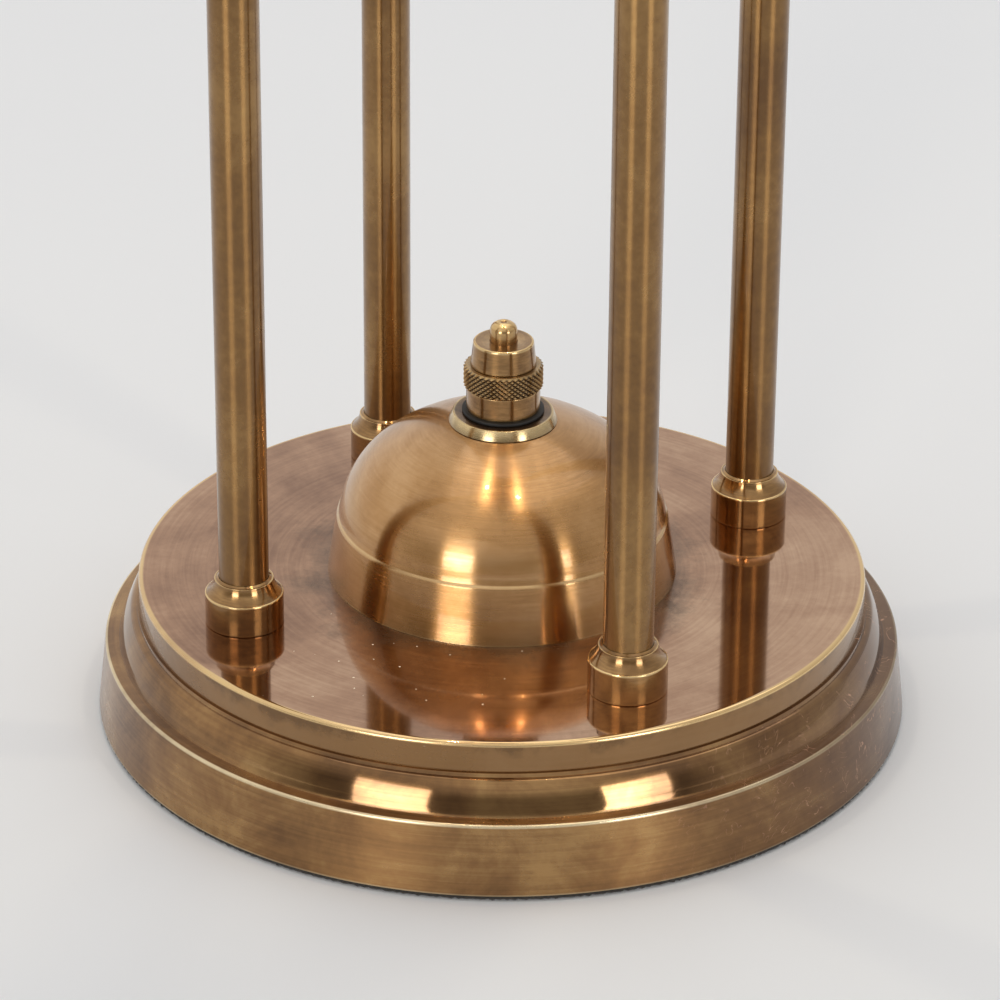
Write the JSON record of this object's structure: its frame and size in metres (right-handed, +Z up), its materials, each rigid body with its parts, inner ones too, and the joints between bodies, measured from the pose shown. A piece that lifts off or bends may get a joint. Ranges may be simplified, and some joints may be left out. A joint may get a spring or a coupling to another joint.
{
  "type": "pharmacy floor lamp",
  "caption": "Adjustable pharmacy floor lamp: weighted round foot with a foot switch under a dome, brass columns, a telescopic stem and a swinging trough shade.",
  "frame": {"origin": "centre of the felt under the foot, on the floor", "axes": "+Z up the axis of the foot and stem; the arm and shade point along -Y at rest; the cord inlet is at the back, +Y"},
  "size_m": [0.3, 0.5862, 1.2737],
  "materials": {
    "antique_brass_spun": "aged lacquered brass, brushed round the axis",
    "antique_brass_tube": "aged lacquered brass, satin, drawn along the tube",
    "antique_brass_turned": "aged lacquered brass, turned and polished",
    "antique_brass_sheet": "aged lacquered brass, brushed",
    "felt": "dark wool felt",
    "steel": "zinc plated steel",
    "cast_iron": "black painted casting",
    "black_rubber": "matte",
    "black_plastic": "moulded",
    "white_plastic": "moulded",
    "frosted_glass": "frosted",
    "nickel_cap": "nickel plated"
  },
  "bodies": {
    "stand": {"base_skirt": "antique_brass_spun", "button_spring": "steel", "canopy_cover": "antique_brass_spun", "canopy_plate": "antique_brass_spun", "column_back_left": "antique_brass_tube", "column_back_right": "antique_brass_tube", "column_front_left": "antique_brass_tube", "column_front_right": "antique_brass_tube", "cord_gland": "antique_brass_turned", "cover_plate": "steel", "dome_screws": "steel", "felt_pad": "felt", "foot_collar_back_left": "antique_brass_turned", "foot_collar_back_right": "antique_brass_turned", "foot_collar_front_left": "antique_brass_turned", "foot_collar_front_right": "antique_brass_turned", "gland_nut": "steel", "grub_screws": "steel", "guide_sleeve": "antique_brass_tube", "iron_weight": "cast_iron", "knurled_ring": "antique_brass_turned", "lamp_pipes": "steel", "neck_bush": "white_plastic", "neck_collar": "antique_brass_turned", "pipe_nuts": "steel", "pipe_washers": "steel", "riser_lead": "white_plastic", "seal_ring": "black_rubber", "sleeve_collar": "antique_brass_turned", "sleeve_finial": "antique_brass_turned", "switch_body": "black_plastic", "switch_cap": "antique_brass_turned", "switch_collar": "antique_brass_turned", "switch_dome": "antique_brass_spun", "switch_flange": "antique_brass_turned", "switch_locknut": "steel", "top_collar_back_left": "antique_brass_turned", "top_collar_back_right": "antique_brass_turned", "top_collar_front_left": "antique_brass_turned", "top_collar_front_right": "antique_brass_turned", "top_tray": "antique_brass_spun"},
    "button": {"push_button": "antique_brass_turned"},
    "clamp": {"clamp_nut": "antique_brass_turned"},
    "stem": {"stem_tube": "antique_brass_tube", "stem_bush": "white_plastic", "swivel_post": "antique_brass_turned"},
    "arm": {"arm_block": "antique_brass_turned", "arm_tube": "antique_brass_tube", "arm_knob": "antique_brass_turned", "arm_spigot": "antique_brass_turned", "journal_nut": "steel"},
    "thumbscrew": {"swivel_screw": "antique_brass_turned"},
    "shade": {"shade_body": "antique_brass_sheet", "shade_back_plate": "antique_brass_sheet", "shade_front_plate": "antique_brass_sheet", "shade_hub": "antique_brass_turned", "shade_knob": "antique_brass_turned", "lampholder": "black_plastic", "bulb_cap": "nickel_cap", "bulb_glass": "frosted_glass"}
  },
  "joints": [
    {"name": "foot_button_press", "type": "slide", "parent": "stand", "child": "button", "axis": [0, 0, -1], "range_m": [0, 0.0035], "stiffness_N_per_m": 800, "springref_m": -0.003, "deforming": ["button_spring"]},
    {"name": "clamp_nut_turn", "type": "hinge", "parent": "stand", "child": "clamp", "pos_m": [0, 0, 1.058], "axis": [0, 0, 1], "range_deg": [0, 120]},
    {"name": "stem_height", "type": "slide", "parent": "stand", "child": "stem", "axis": [0, 0, 1], "range_m": [-0.035, 0.2]},
    {"name": "arm_swivel", "type": "hinge", "parent": "stem", "child": "arm", "pos_m": [0, 0, 1.221], "axis": [0, 0, 1], "range_deg": [-170, 170]},
    {"name": "thumbscrew_turn", "type": "hinge", "parent": "arm", "child": "thumbscrew", "pos_m": [0.016, 0, 1.221], "axis": [1, 0, 0], "range_deg": [0, 90]},
    {"name": "shade_tilt", "type": "hinge", "parent": "arm", "child": "shade", "pos_m": [0, -0.2, 1.242], "axis": [0, -1, 0], "range_deg": [-75, 75]}
  ]
}
